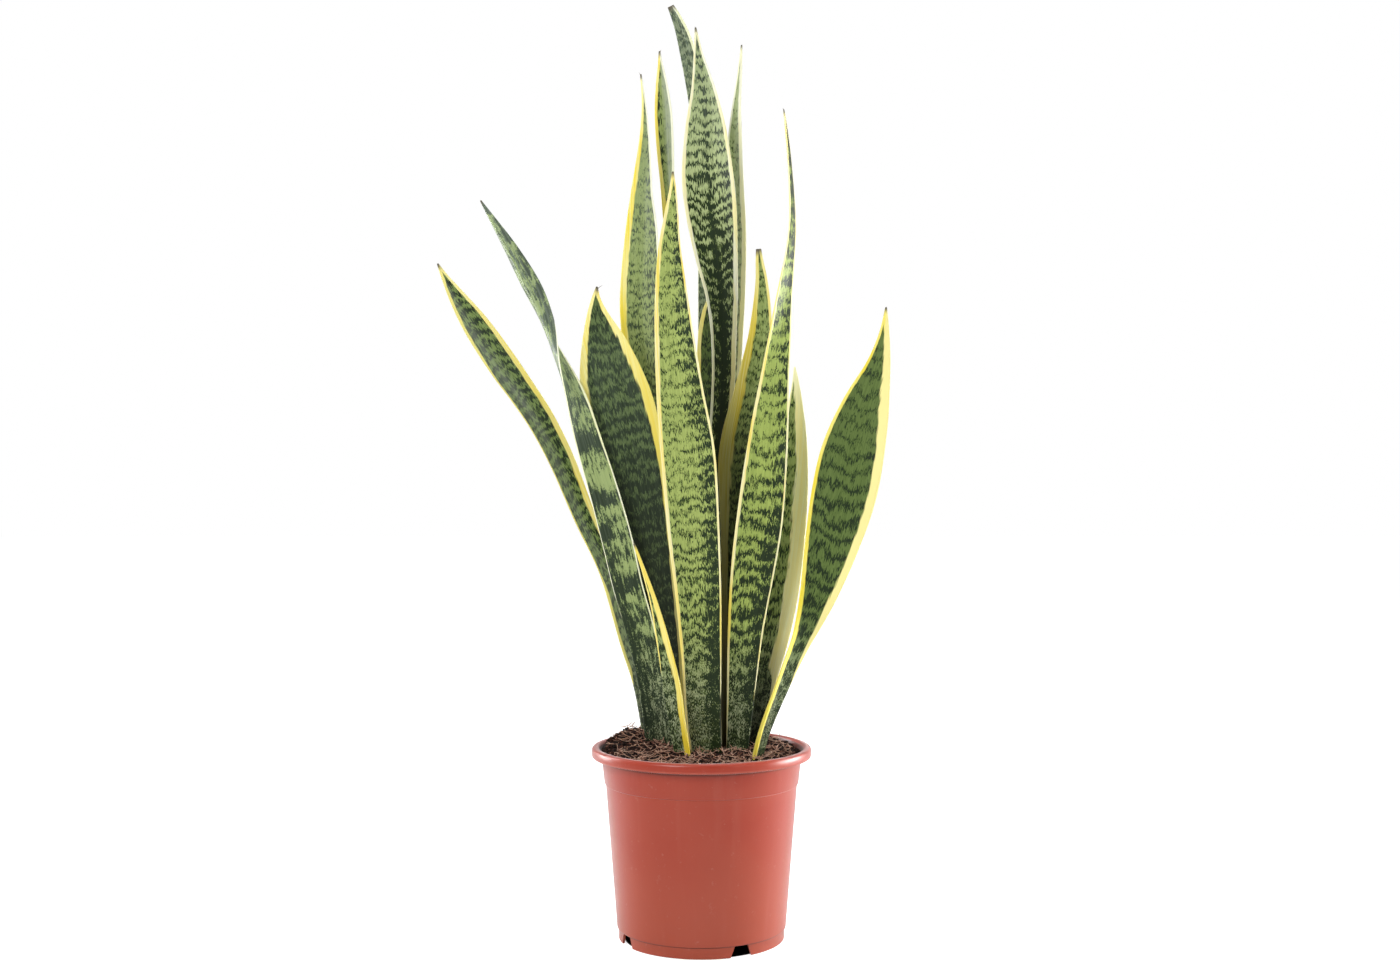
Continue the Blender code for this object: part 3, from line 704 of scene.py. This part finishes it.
def leaf_material(name, seed, look, bands, margins):
    mat, tree, shader = new_material(name + "_skin")
    maps = {n: add(tree, "UVMap", uv_map=n).outputs[0] for n in LEAF_MAPS}
    to_tip, bloom, _ = parts(maps["state"])
    light_left, height, _ = parts(maps["gloom"])
    across = parts(maps["tone"])[1]
    foot = flip(rise(height, *FOOT_ZONE))
    band = add(tree, "Group", {"Place": maps["size"], "Tone": maps["tone"], "Seed": seed, "Foot": foot,
                               **{key.title(): look[key] for key in PATTERN}}, node_tree=bands).outputs
    edge = add(tree, "Group", {"Edges": maps["margin"], "Place": maps["size"], "Seed": seed,
                               "Pale": look["pale"], "Deep": look["deep"]}, node_tree=margins).outputs
    fibre = rise(band["Fibre"], 0.3, 0.75)
    face = blend(band["Mid"], DARK_GREEN, look["middle"])
    face = blend(band["Light"], face, blend(foot, look["light_green"], FOOT_GREEN))
    face = blend(0.35, face, blend(fibre, RIB_DARK, RIB_LIGHT), "OVERLAY")
    face = blend(times(bloom, scaled(fibre, 0.5, 0.35)), face, WAX)
    # painted highlight: a silvery sheen over one side of the blade
    if look["sheen"]:
        side = rise(times(across, math.copysign(1.0, look["sheen"])), -0.25, 0.5)
        sheen = times(side, scaled(fibre, 0.4, 0.5), abs(look["sheen"]))
        face = blend(sheen, face, PAINTED_SHEEN)
    margin = edge["Color"]
    on_right = rise(across, -0.1, 0.1)
    if look["right_margin"]:
        margin = blend(on_right, margin, look["right_margin"])
    if look["left_margin"]:
        margin = blend(on_right, look["left_margin"], margin)
    skin = blend(edge["Mask"], face, margin)
    skin = blend(light_left, BLACK, skin)
    dry = flip(rise(scaled(band["Fibre"], 0.008, to_tip), look["dry"], look["dry"] + DRY_FADE))
    give(shader, {"Base Color": blend(dry, skin, DRY_BROWN), "Specular IOR Level": 0.18,
                  "Roughness": scaled(dry, 0.4, scaled(band["Fibre"], 0.22, 0.26)),
                  "Normal": bumps(band["Fibre"], 0.35, 0.0006)})
    return mat


# Dry spines at the leaf tips: length, sideways curl, half-thickness, in millimetres.
SPINES = {
    "leaf_broad_dark": (1.2, 5.2, 0.9), "leaf_tall_left": (1.5, -1.6, 0.6),
    "leaf_yellow_edged": (1.0, 1.8, 0.8), "leaf_tall_back": (0.6, -0.4, 0.8),
    "leaf_tall_right": (0.6, 0.4, 0.6), "leaf_front_right": (0.8, -0.8, 0.7),
    "leaf_far_right": (0.5, 0.4, 0.7),
}
SPINE_OVERLAP = 4.5      # how far a spine starts inside its leaf
SPINE_TAPER = 0.8


def make_spine(name, length, curl, thick):
    blade = Blade(LEAVES[name], NO_FOLD)
    tip = blade.centre(1.0)
    along = (tip - blade.centre(0.97)).normalized()
    deselect()
    bpy.ops.mesh.primitive_cylinder_add(vertices=8, radius=1.0, depth=2.0)
    spine = named(name.replace("leaf", "spine"))
    cut_across(-0.6, -0.2, 0.2, 0.6)
    for vert in spine.data.vertices:
        share = (vert.co.z + 1.0) / 2.0
        girth = thick * (1.0 - SPINE_TAPER * share)
        spot = tip + along * (share * (length + SPINE_OVERLAP) - SPINE_OVERLAP)
        spot += Vector((vert.co.x * girth + curl * share * share, vert.co.y * girth, 0.0))
        vert.co = in_place(*spot)
    settle(spine)
    spine.data.shade_smooth()
    return fix(spine)


def spine_material():
    mat, tree, shader = new_material("dry_spine")
    streak = noisy(object_place(tree), 700.0, 3.0)
    give(shader, {"Base Color": blend(streak, SPINE_DARK, SPINE_LIGHT),
                  "Roughness": scaled(streak, 0.3, 0.5)})
    return mat


# ---- pot -------------------------------------------------
# Turned from a ring that is drawn up the outside, over the rim and down the inside.
POT_SEGMENTS = 160
POT_PROFILE = [
    (77.7, 11.6), (77.4, 0.6), (77.9, 0.1), (79.3, 0.0), (79.8, 0.4), (79.95, 10.2), (80.2, 10.7),
    (81.0, 10.9), (81.35, 11.3), (81.5, 12.1), (92.3, 147.6), (92.5, 148.5), (93.3, 149.0), (93.7, 149.9),
    (96.2, 172.4), (96.5, 173.5), (97.4, 174.2), (104.1, 174.4), (105.1, 174.7), (105.7, 175.4),
    (105.95, 176.6), (105.9, 181.2), (105.6, 182.4), (104.8, 183.4), (103.4, 183.9), (101.4, 184.0),
    (100.0, 183.8), (99.0, 183.0), (98.4, 181.6), (95.0, 170.0), (91.7, 150.6), (91.0, 149.4), (90.5, 148.0),
    (79.4, 15.2), (78.6, 14.0),
]
NOTCH_ANGLES = (27.6, 117.6, 207.6, 297.6)
NOTCH_FOOT_WIDTH = 23.0
NOTCH_TOP_WIDTH = 13.5
NOTCH_HEIGHT = 11.0
NOTCH_CENTRE = 81.0
NOTCH_CUT_DEPTH = 18.0
DRAIN_RADIUS = 5.0
DRAIN_CENTRE = 68.0
BASE_MIDDLE = 12.8       # half way up the raised base's plate
SHARP_EDGE = 32.0        # degrees from which an edge of the pot stays crisp

# The pot's plastic, then the marks on it: clouds, streaks and scuffs, with painted light towards the foot, a
# painted highlight along the lip's lower edge and painted shade under the lip and in the step above the foot;
# the heights and radii of the marks are in metres.
TERRACOTTA_BOUNCE_LIT = (0.38, 0.064, 0.030, 1)
TERRACOTTA_HIGH = (0.345, 0.030, 0.010, 1)
CLOUDED = (0.40, 0.070, 0.035, 1)
STREAKED = (0.46, 0.12, 0.08, 1)
LIP_HIGHLIGHT = (0.62, 0.17, 0.11, 1)
SCUFFED = (0.50, 0.24, 0.19, 1)
GROOVE_SHADE = (0.055, 0.014, 0.008, 1)
LIP_UNDERSIDE, NECK_INSIDE, NECK_OUTSIDE = 0.1745, 0.0955, 0.0985
LIP_EDGE, LIP_REACH = 0.1757, 0.104
SEAM_HEIGHT = 0.0107


def cut_with(thing, cutter):
    step = thing.modifiers.new("cut", "BOOLEAN")
    step.operation = "DIFFERENCE"
    step.solver = "EXACT"
    step.object = cutter
    settle(thing)
    bpy.data.objects.remove(cutter, do_unlink=True)


def at_angle(angle, radial, height):
    """A place on a circle round the pot's axis; 0 degrees is the front."""
    turn = math.radians(angle)
    return in_place(radial * math.sin(turn), -radial * math.cos(turn), height)


def make_pot():
    deselect()
    radius, height = POT_PROFILE[0]
    bpy.ops.mesh.primitive_circle_add(vertices=POT_SEGMENTS, radius=radius * MM,
                                      location=in_place(0, 0, height), fill_type="NGON")
    pot = named("nursery_pot")
    bpy.ops.object.mode_set(mode="EDIT")
    bpy.ops.mesh.select_all(action="SELECT")
    for (radius, height), (wider, higher) in zip(POT_PROFILE, POT_PROFILE[1:]):
        bpy.ops.mesh.extrude_region_move(TRANSFORM_OT_translate={"value": (0, 0, (higher - height) * MM)})
        grow = wider / radius
        bpy.ops.transform.resize(value=(grow, grow, 1), center_override=in_place(0, 0, higher))
    bpy.ops.mesh.select_all(action="SELECT")
    bpy.ops.mesh.normals_make_consistent(inside=False)
    bpy.ops.object.mode_set(mode="OBJECT")
    for angle in NOTCH_ANGLES:
        deselect()
        bpy.ops.mesh.primitive_cube_add(
            size=1, location=at_angle(angle, NOTCH_CENTRE, NOTCH_HEIGHT / 2 - 0.5),
            scale=(NOTCH_FOOT_WIDTH * MM, NOTCH_CUT_DEPTH * MM, (NOTCH_HEIGHT + 1) * MM),
            rotation=(0, 0, math.radians(angle)))
        cutter = named("notch_cutter")
        for vert in cutter.data.vertices:
            if vert.co.z > 0:
                vert.co.x *= NOTCH_TOP_WIDTH / NOTCH_FOOT_WIDTH
        cut_with(pot, cutter)
        deselect()
        bpy.ops.mesh.primitive_cylinder_add(vertices=24, radius=DRAIN_RADIUS * MM, depth=0.008,
                                            location=at_angle(angle, DRAIN_CENTRE, BASE_MIDDLE))
        cut_with(pot, named("drain_cutter"))
    select_only(pot)
    bpy.ops.object.shade_smooth_by_angle(angle=math.radians(SHARP_EDGE))
    settle(pot)
    return fix(pot, "pot")


def pot_material():
    mat, tree, shader = new_material("terracotta_plastic")
    local = mapped(object_place(tree), Location=(-AXIS_X, -AXIS_Y, 0))
    x, y, height = parts(local)
    radius = length_of(after("CombineXYZ", (x, y, 0.0)).outputs[0])
    clouds = rise(noisy(local, 14.0, 3.0), 0.35, 0.65)
    streaks = rise(noisy(mapped(local, Scale=(60, 60, 5)), 1.0, 3.0, 0.6), 0.5, 0.8)
    scuffs = noisy(local, 160.0, 6.0, 0.7)
    # painted light: lighter towards the foot, as if lit by light bounced up from the floor
    colour = blend(rise(height, 0.0, 0.17), TERRACOTTA_BOUNCE_LIT, TERRACOTTA_HIGH)
    colour = blend(times(clouds, 0.35), colour, CLOUDED)
    colour = blend(times(streaks, 0.20), colour, STREAKED)
    # painted highlight: a thin light line along the lower edge of the lip
    lip_highlight = times(near_to(height, LIP_EDGE, 0.0004, 0.0012), maths("GREATER_THAN", radius, LIP_REACH))
    colour = blend(times(lip_highlight, 0.25), colour, LIP_HIGHLIGHT)
    colour = blend(times(rise(scuffs, 0.60, 0.72), 0.25), colour, SCUFFED)
    # painted shade: darker on the neck under the lip, and along the step above the foot ring
    under_lip_shade = times(flip(rise(minus(LIP_UNDERSIDE, height), 0.0012, 0.0046)),
                      maths("LESS_THAN", radius, NECK_OUTSIDE),
                      maths("GREATER_THAN", radius, NECK_INSIDE))
    seam_shade = near_to(height, SEAM_HEIGHT, 0.0003, 0.0009)
    groove_shade = maths("MAXIMUM", times(under_lip_shade, 0.75), times(seam_shade, 0.6))
    give(shader, {"Base Color": blend(groove_shade, colour, GROOVE_SHADE), "Roughness": scaled(scuffs, 0.22, 0.22),
                  "Normal": bumps(noisy(local, 900.0, 2.0, 0.6), 0.12, 0.0003),
                  "Specular IOR Level": 0.4, "Sheen Weight": 0.42, "Sheen Roughness": 0.35,
                  "Coat Weight": 0.12, "Coat Roughness": 0.12})
    return mat


# ---- soil ------------------------------------------------
# A heaped, crumbly surface inside the pot, with loose fibres, flakes and crumbs on it.
SOIL_LEVEL = 176.5
SOIL_MOUND = 3.0
SOIL_TILT = 0.020
SOIL_HEAPS = [(-68.0, 36.0, 15.0, 40.0), (60.0, 52.0, 4.0, 30.0)]     # place, rise, spread
SOIL_AT_WALL = 181.0
SOIL_CELLS = 200
SOIL_RIM = 96.6          # radius where the soil meets the rim
SOIL_SMOOTH = 60.0       # degrees
WALL_GAP = 0.35
SOIL_SIDE = (172.0, 150.6, 149.0, 14.3)      # heights of the hidden side of the soil, downwards
WALL_INSIDE = [(14.0, 79.2), (149.0, 90.6), (150.6, 91.7), (170.0, 95.0), (181.4, 98.0)]
CHIP_BROWN = (0.32, 0.20, 0.13, 1)


def soil_height(x, y):
    """Height of the soil at a place given from the pot's axis, all in millimetres."""
    spread = math.hypot(x, y) / 95.0
    mound = SOIL_MOUND * (1.0 - spread * spread)
    tilt = SOIL_TILT * (y + 40.0)
    heaps = sum(rise * math.exp(-((x - cx) ** 2 + (y - cy) ** 2) / reach ** 2)
                for cx, cy, rise, reach in SOIL_HEAPS)
    rough = 0.9 * math.sin(x * 0.13 + 1.0) * math.cos(y * 0.11 - 0.6)
    return SOIL_LEVEL + mound + tilt + heaps + rough


def crumbly_height(x, y):
    """The same with lumps and crumbs, which flatten out towards the rim."""
    spot = Vector((x, y, 0.0))
    lumps = 1.6 * noise.noise(spot * 0.09) + 1.2 * noise.noise(spot * 0.24 + Vector((9, 0, 0)))
    crumbs = noise.cell(spot * 0.45) * 0.5 + 0.9 * abs(noise.noise(spot * 0.55 + Vector((0, 5, 0))))
    to_rim = SOIL_RIM - math.hypot(x, y)
    edge = min(max(to_rim / 8.0, 0.0), 1.0)
    height = soil_height(x, y) + (lumps + crumbs - 0.8) * (0.35 + 0.65 * edge)
    return min(height, SOIL_AT_WALL + 1.6 * max(to_rim, 0.0))


def make_soil():
    deselect()
    bpy.ops.mesh.primitive_grid_add(x_subdivisions=SOIL_CELLS, y_subdivisions=SOIL_CELLS, size=2)
    soil = named("soil_surface")
    for vert in soil.data.vertices:
        u, v = vert.co.x, vert.co.y
        x = u * math.sqrt(1 - v * v / 2) * SOIL_RIM
        y = v * math.sqrt(1 - u * u / 2) * SOIL_RIM
        vert.co = in_place(x, y, crumbly_height(x, y))
    select_only(soil)
    bpy.ops.object.mode_set(mode="EDIT")
    bpy.ops.mesh.select_all(action="SELECT")
    bpy.ops.mesh.region_to_loop()
    reached = SOIL_RIM
    for height in SOIL_SIDE:
        bpy.ops.mesh.extrude_edges_move(TRANSFORM_OT_translate={"value": (0, 0, 0)})
        radius = between(WALL_INSIDE, height)[0] - WALL_GAP
        bpy.ops.transform.resize(value=(radius / reached, radius / reached, 0.0),
                                 center_override=in_place(0, 0, height))
        reached = radius
    bpy.ops.mesh.edge_face_add()
    bpy.ops.mesh.select_all(action="SELECT")
    bpy.ops.mesh.normals_make_consistent(inside=False)
    bpy.ops.object.mode_set(mode="OBJECT")
    bpy.ops.object.shade_smooth_by_angle(angle=math.radians(SOIL_SMOOTH))
    settle(soil)
    return fix(soil, "potting_soil")


def crumb_shape():
    bpy.ops.mesh.primitive_ico_sphere_add(subdivisions=1, radius=1.0)
    crumb = named("crumb")
    for vert in crumb.data.vertices:
        vert.co *= 0.75 + 0.5 * noise.noise(vert.co * 1.7)
    return crumb


def flake_shape():
    bpy.ops.mesh.primitive_cube_add(size=2)
    flake = named("flake")
    for vert in flake.data.vertices:
        vert.co.x *= 1.0 + 0.35 * noise.noise(vert.co * 0.9)
        vert.co.y *= 0.55 + 0.25 * noise.noise(vert.co * 1.3)
        vert.co.z *= 0.22
    soften = flake.modifiers.new("soften", "BEVEL")
    soften.width = 0.12
    soften.segments = 1
    settle(flake)
    return flake


def fibre_shape():
    """A thin bowed fibre that lies along X."""
    bpy.ops.mesh.primitive_cylinder_add(vertices=5, radius=0.06, depth=2.0)
    fibre = named("fibre")
    cut_across(-0.35, 0.35)
    for vert in fibre.data.vertices:
        vert.co.x += 0.22 * vert.co.z * vert.co.z
        vert.co.z, vert.co.x = vert.co.x, vert.co.z
    return fibre


def copy_at(shape, matrix):
    copy = shape.copy()
    copy.data = shape.data.copy()
    bpy.context.scene.collection.objects.link(copy)
    copy.matrix_world = matrix
    return copy


def join_copies(name, shape, copies):
    """Join the copies as one piece on the soil, and drop the shape that they were made from."""
    bpy.data.objects.remove(shape, do_unlink=True)
    deselect()
    for copy in copies:
        copy.select_set(True)
    bpy.context.view_layer.objects.active = copies[0]
    bpy.ops.object.join()
    joined = named(name)
    settle(joined)
    joined.data.shade_smooth()
    return fix(joined)


def scatter(name, shape, count, size, seed, flat, spread, lift=0.0):
    """Copies of one shape laid on the soil at random; flat is the spread of their tilts."""
    draw = random.Random(seed)
    copies = []
    while len(copies) < count:
        x, y = draw.uniform(-spread, spread), draw.uniform(-spread, spread)
        if math.hypot(x, y) > spread:
            continue
        across = draw.uniform(*size)
        turn = Matrix.Rotation(draw.uniform(0, math.tau), 4, "Z")
        tilt = Matrix.Rotation(draw.gauss(0, flat), 4, "X") @ Matrix.Rotation(draw.gauss(0, flat), 4, "Y")
        spot = in_place(x, y, crumbly_height(x, y) + across * 0.25 + lift)
        stretch = Matrix.Diagonal((across * MM, across * MM * draw.uniform(0.7, 1.2),
                                   across * MM * draw.uniform(0.7, 1.2), 1))
        copies.append(copy_at(shape, Matrix.Translation(spot) @ turn @ tilt @ stretch))
    return join_copies(name, shape, copies)


# Loose fibres standing in front of the leaves: middle from the pot's axis, half length, lean in degrees.
STRAY_FIBRES = [
    ((-6.3, -84.0, 187.0), 4.5, 86.0), ((-0.5, -84.5, 189.5), 5.5, 33.0), ((-33.0, -82.0, 186.0), 3.5, 12.0),
    ((40.0, -77.0, 187.0), 4.0, 20.0), ((14.0, -86.0, 185.5), 4.0, -18.0),
]


def make_strays():
    shape = fibre_shape()
    copies = [copy_at(shape, Matrix.Translation(in_place(*middle))
                      @ Matrix.Rotation(math.radians(-lean), 4, "Y") @ Matrix.Scale(reach * MM, 4))
              for middle, reach, lean in STRAY_FIBRES]
    return join_copies("stray_fibres", shape, copies)


def soil_material(name, dark, light, scale):
    mat, tree, shader = new_material(name)
    place = object_place(tree)
    lumps = noisy(place, 220.0 * scale, 5.0, 0.65)
    specks = noisy(place, 900.0 * scale, 2.0, 0.6)
    share = scaled(minus(specks, 0.5), 0.7, lumps)
    colour = blend(rise(share, 0.46, 0.78), (*dark, 1), (*light, 1))
    chips = times(rise(specks, 0.66, 0.72), 0.55)
    give(shader, {"Base Color": blend(chips, colour, CHIP_BROWN), "Roughness": scaled(lumps, 0.3, 0.62),
                  "Normal": bumps(share, 0.7, 0.0012), "Specular IOR Level": 0.12})
    return mat


def dress(thing, mat):
    thing.data.materials.clear()
    thing.data.materials.append(mat)


# ---- build -----------------------------------------------
BANDS = bands_group()
MARGIN = margin_group()
for number, (leaf, rows) in enumerate(LEAVES.items()):
    seed = 3.7 * number + 1.3
    look = {**PLAIN_LOOK, **LOOKS[leaf]}
    dress(make_blade(leaf, rows, seed), leaf_material(leaf, seed, look, BANDS, MARGIN))

DRY = spine_material()
for leaf, (length, curl, thick) in SPINES.items():
    dress(make_spine(leaf, length, curl, thick), DRY)

dress(make_pot(), pot_material())

PEAT = soil_material("peat", (0.005, 0.002, 0.0012), (0.10, 0.038, 0.025), 1.0)
BARK = soil_material("bark", (0.025, 0.009, 0.006), (0.50, 0.24, 0.165), 1.5)
STRAW = soil_material("straw_fibre", (0.42, 0.23, 0.155), (0.95, 0.72, 0.56), 1.5)
dress(make_soil(), PEAT)
dress(scatter("peat_crumbs", crumb_shape(), 1300, (0.8, 2.6), seed=5, flat=0.6, spread=95.6), PEAT)
dress(scatter("bark_flakes", flake_shape(), 620, (1.2, 3.0), seed=11, flat=0.7, spread=94.0), BARK)
dress(scatter("peat_fibres", fibre_shape(), 800, (2.5, 6.5), seed=23, flat=0.35, spread=89.0, lift=1.5),
      STRAW)
dress(make_strays(), STRAW)

# ---- floor, light and camera -----------------------------
FLOOR_DEPTH = 0.0005                  # how far the floor lies under the pot
FOOT_INSIDE = (0.0735, 0.0755)        # radius where the painted shade under the pot ends and the white floor starts
FLOOR_PAINTED_SHADE = (0.01, 0.01, 0.01, 1)
FLOOR_WHITE = (0.6, 0.6, 0.6, 1)
FLOOR_GLOW, FLOOR_GLOW_SEEN = 0.10, 0.76
SKY_STRENGTH = 0.26
WALLS_STRENGTH = 0.20                 # what the white walls add to reflections

deselect()
bpy.ops.mesh.primitive_plane_add(size=14, location=(AXIS_X, 4.0, -FLOOR_DEPTH))
floor = named("floor")
paper, tree, shader = new_material("white_floor")
from_axis = mapped(object_place(tree), Location=(-AXIS_X, -AXIS_Y, 0))
# painted shade: the floor under the pot is dark and its glow is masked off there
clear_of_pot = rise(length_of(from_axis), *FOOT_INSIDE)
glow = scaled(add(tree, "LightPath").outputs["Is Camera Ray"], FLOOR_GLOW_SEEN, FLOOR_GLOW)
give(shader, {"Base Color": blend(clear_of_pot, FLOOR_PAINTED_SHADE, FLOOR_WHITE), "Roughness": 0.9,
              "Specular IOR Level": 0.0, "Emission Color": (1, 1, 1, 1),
              "Emission Strength": times(glow, clear_of_pot)})
settle(floor)
dress(floor, paper)

world = bpy.data.worlds.new("studio")
bpy.context.scene.world = world
world.use_nodes = True
path = add(world.node_tree, "LightPath").outputs
strength = scaled(path["Is Camera Ray"], 1.0 - SKY_STRENGTH, SKY_STRENGTH)
strength = scaled(path["Is Glossy Ray"], WALLS_STRENGTH, strength)
give(world.node_tree.nodes["Background"], {"Color": (1, 1, 1, 1), "Strength": strength})

# Softboxes: name, place, height aimed at, width and height, watts, spread of the beam in degrees.
SOFTBOXES = [
    ("front_left_softbox", (-1.3, -2.1, 1.7), 0.45, (1.0, 1.4), 48, 180),
    ("front_right_softbox", (1.4, -1.5, 0.8), 0.35, (0.9, 0.9), 4, 180),
    ("right_low_softbox", (1.55, 0.40, 0.12), 0.09, (1.3, 0.8), 7, 50),
    ("left_low_softbox", (-1.40, 0.75, 0.12), 0.09, (0.7, 0.8), 1.6, 50),
    ("right_softbox", (1.7, 0.5, 0.9), 0.5, (0.9, 1.2), 20, 180),
    ("left_softbox", (-1.5, 0.8, 0.9), 0.5, (0.8, 1.2), 22, 180),
    ("top_softbox", (0.2, 0.3, 2.3), 0.5, (1.2, 1.2), 20, 180),
]
for name, spot, aim, size, power, beam in SOFTBOXES:
    lamp = bpy.data.lights.new(name, "AREA")
    lamp.shape = "RECTANGLE"
    lamp.size, lamp.size_y = size
    lamp.energy = power
    lamp.spread = math.radians(beam)
    holder = bpy.data.objects.new(name, lamp)
    bpy.context.scene.collection.objects.link(holder)
    holder.location = spot
    holder.rotation_euler = (Vector((AXIS_X, 0, aim)) - Vector(spot)).to_track_quat("-Z", "Y").to_euler()

EYE_LEFT, EYE_DISTANCE, EYE_HEIGHT = 0.00145, 1.573, 0.441
lens = bpy.data.cameras.new("camera")
lens.sensor_width = 36.0
lens.lens = 41.786
lens.clip_start = 0.05
camera = bpy.data.objects.new("camera", lens)
bpy.context.scene.collection.objects.link(camera)
camera.location = (AXIS_X - EYE_LEFT, AXIS_Y - EYE_DISTANCE, EYE_HEIGHT)
camera.rotation_euler = (math.radians(90), 0, 0)
bpy.context.scene.camera = camera
bpy.context.scene.view_settings.view_transform = "Standard"
